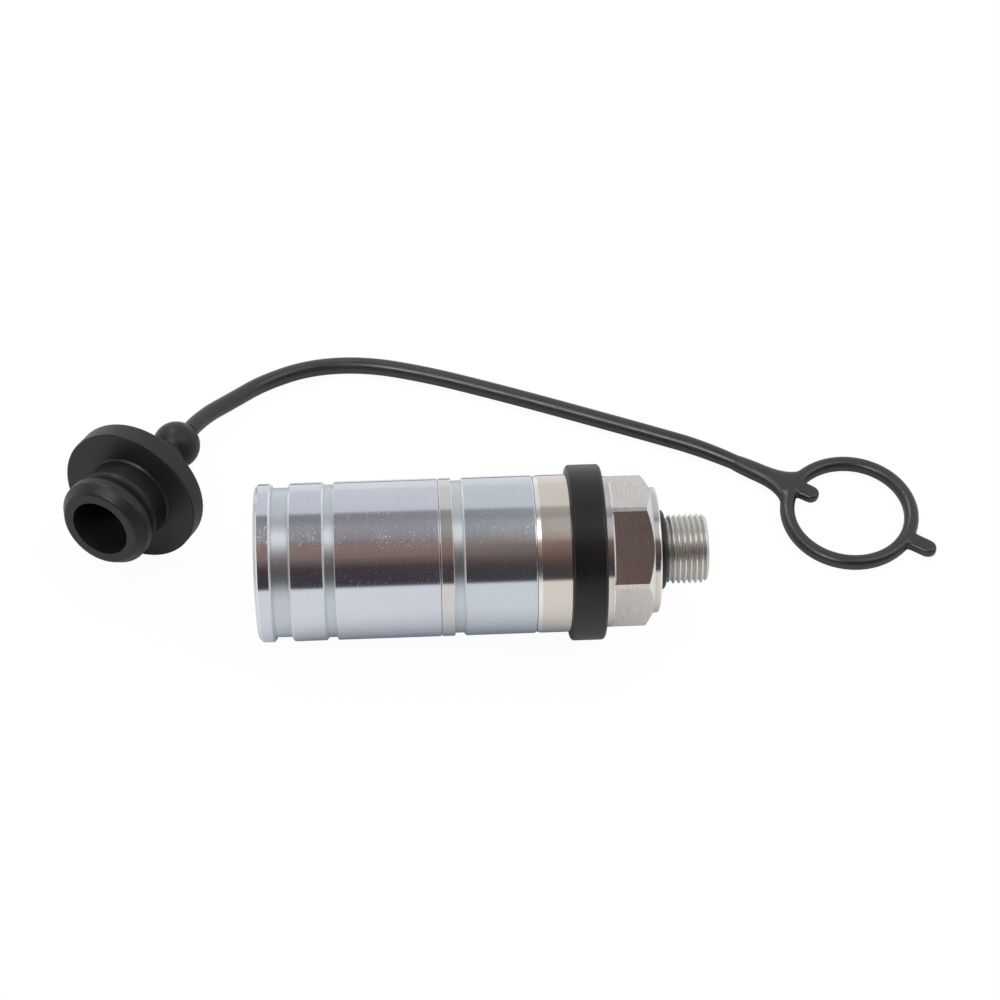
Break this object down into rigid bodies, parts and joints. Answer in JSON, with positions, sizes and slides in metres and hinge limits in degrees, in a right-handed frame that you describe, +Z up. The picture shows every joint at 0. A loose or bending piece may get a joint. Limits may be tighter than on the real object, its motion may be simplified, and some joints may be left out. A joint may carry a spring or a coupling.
{
  "type": "hydraulic quick coupler",
  "caption": "Female push-pull hydraulic quick coupler with a sliding sleeve, ball lock and poppet valve, a threaded stud, and a rubber dust plug on a tether, taken off.",
  "frame": {"origin": "on the coupler's axis, in the plane of the shoulder that seats on the port", "axes": "+X along the axis, from the mouth towards the threaded stud; +Z up as the coupler lies on its side; the dust plug lies on the ground beside the mouth"},
  "size_m": [0.2168, 0.1013, 0.0424],
  "materials": {
    "sleeve_zinc": "satin zinc plating with a blue tint",
    "body_zinc": "satin zinc plating",
    "bare_steel": "turned",
    "ball_steel": "polished",
    "spring_steel": "drawn",
    "black_rubber": "matt",
    "seal_rubber": "matt",
    "white_plastic": "matt"
  },
  "bodies": {
    "body": {"body_tube": "body_zinc", "port_adapter": "body_zinc", "adapter_seal": "seal_rubber", "rubber_band": "black_rubber", "port_seal": "seal_rubber", "sleeve_clip": "spring_steel", "sleeve_spring_washer": "bare_steel", "sleeve_spring": "spring_steel", "socket_spring": "spring_steel", "dust_plug": "black_rubber", "tether": "black_rubber", "tether_ring": "black_rubber"},
    "sleeve": {"front_sleeve": "sleeve_zinc", "rear_sleeve": "sleeve_zinc"},
    "socket": {"socket": "body_zinc", "locking_balls": "ball_steel", "tip_seal": "seal_rubber", "tip_backup_ring": "white_plastic", "socket_seal": "seal_rubber", "socket_backup_ring": "white_plastic", "socket_spring_washer": "bare_steel", "socket_clip": "spring_steel", "valve_guide": "bare_steel", "guide_clip": "spring_steel", "poppet_spring": "spring_steel"},
    "poppet": {"poppet": "bare_steel", "poppet_seal": "seal_rubber"}
  },
  "joints": [
    {"name": "sleeve_slide", "type": "slide", "parent": "body", "child": "sleeve", "axis": [-1, 0, 0], "range_m": [0, 0.006], "stiffness_N_per_m": 4000, "springref_m": -0.004, "deforming": ["sleeve_spring"]},
    {"name": "socket_slide", "type": "slide", "parent": "body", "child": "socket", "axis": [-1, 0, 0], "range_m": [0, 0.005], "stiffness_N_per_m": 4000, "springref_m": -0.004, "deforming": ["socket_spring"]},
    {"name": "poppet_slide", "type": "slide", "parent": "socket", "child": "poppet", "axis": [1, 0, 0], "range_m": [0, 0.005], "stiffness_N_per_m": 2000, "springref_m": -0.004, "deforming": ["poppet_spring"]}
  ]
}
